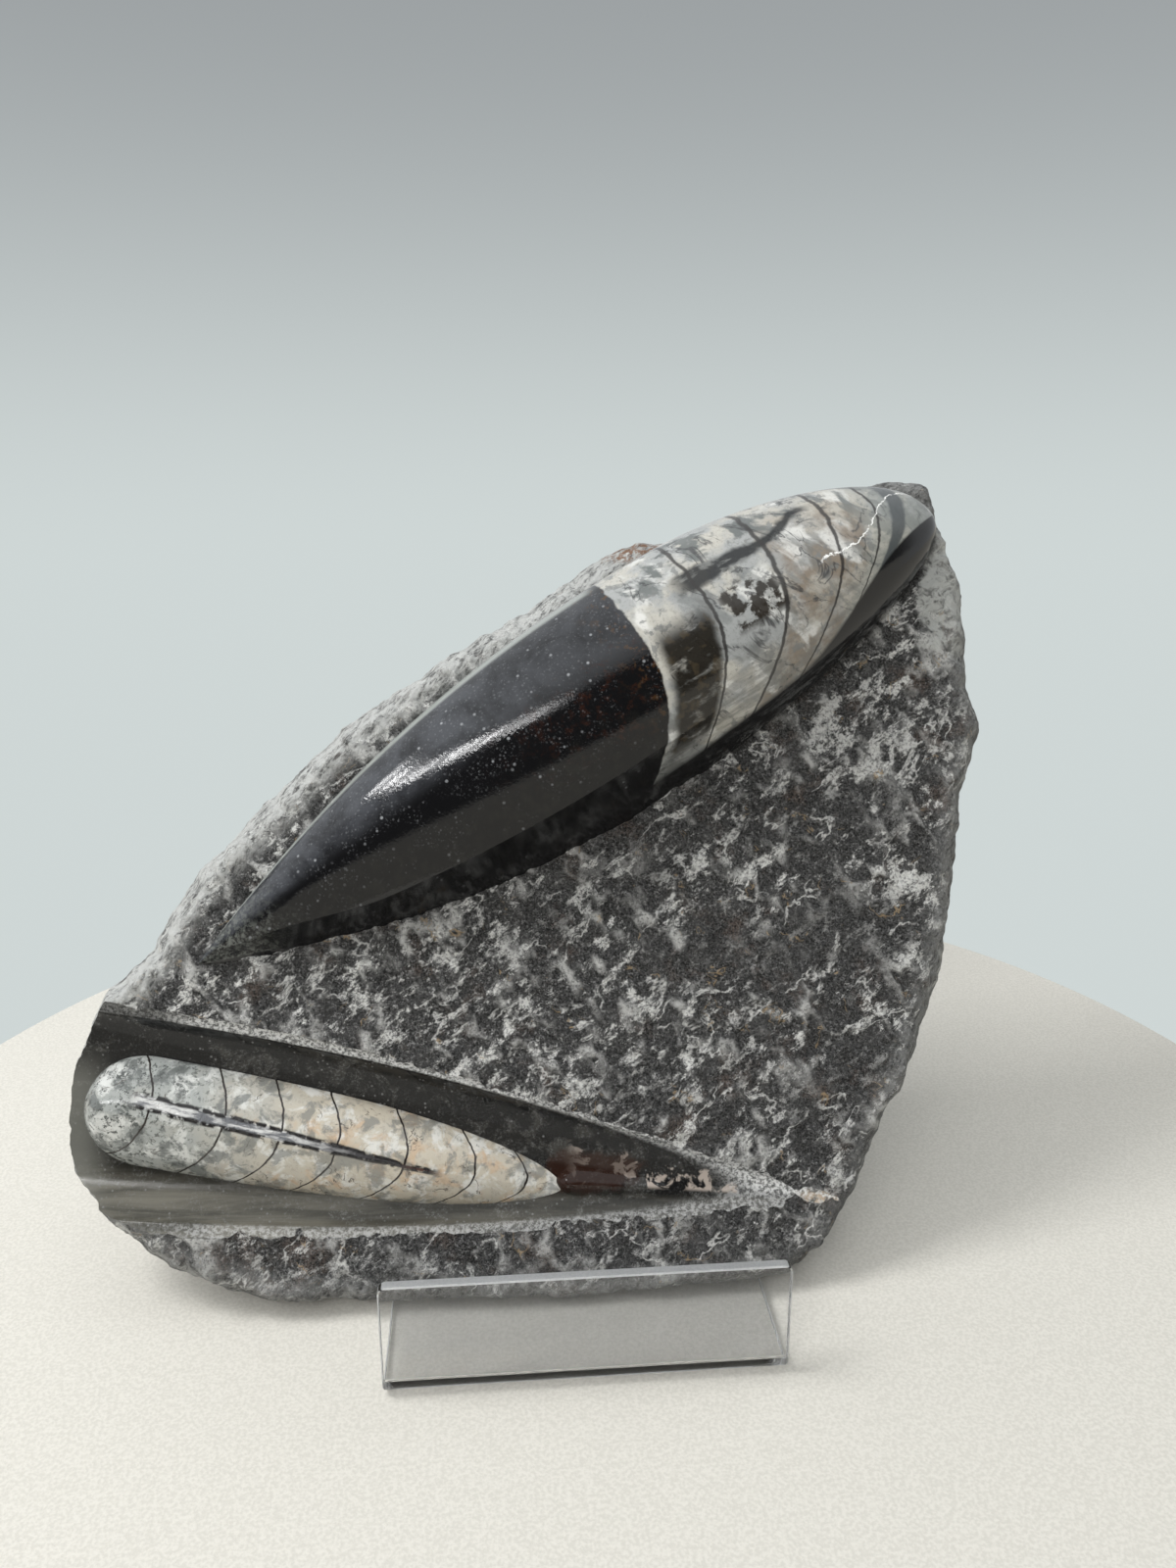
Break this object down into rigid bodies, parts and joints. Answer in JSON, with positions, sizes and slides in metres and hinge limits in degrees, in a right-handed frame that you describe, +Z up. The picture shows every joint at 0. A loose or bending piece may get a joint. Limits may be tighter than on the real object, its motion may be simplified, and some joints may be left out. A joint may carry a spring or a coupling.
{
  "type": "orthoceras fossil slab on a display stand",
  "caption": "Dark limestone slab with two polished orthoceras shells in relief, leaning back on a clear folded acrylic display stand.",
  "frame": {"origin": "on the surface that the stand rests on, under the middle of the whole object", "axes": "+Z up, +X to the right along the slab's width, -Y towards the viewer, so that the slab's polished face looks along -Y and a little up"},
  "size_m": [0.2592, 0.1492, 0.2121],
  "materials": {
    "limestone": "rough pecked limestone, with polished black and cream fossils",
    "clear_acrylic": "clear polished acrylic sheet"
  },
  "bodies": {
    "root": {"fossil_slab": "limestone", "display_stand": "clear_acrylic"}
  },
  "joints": []
}
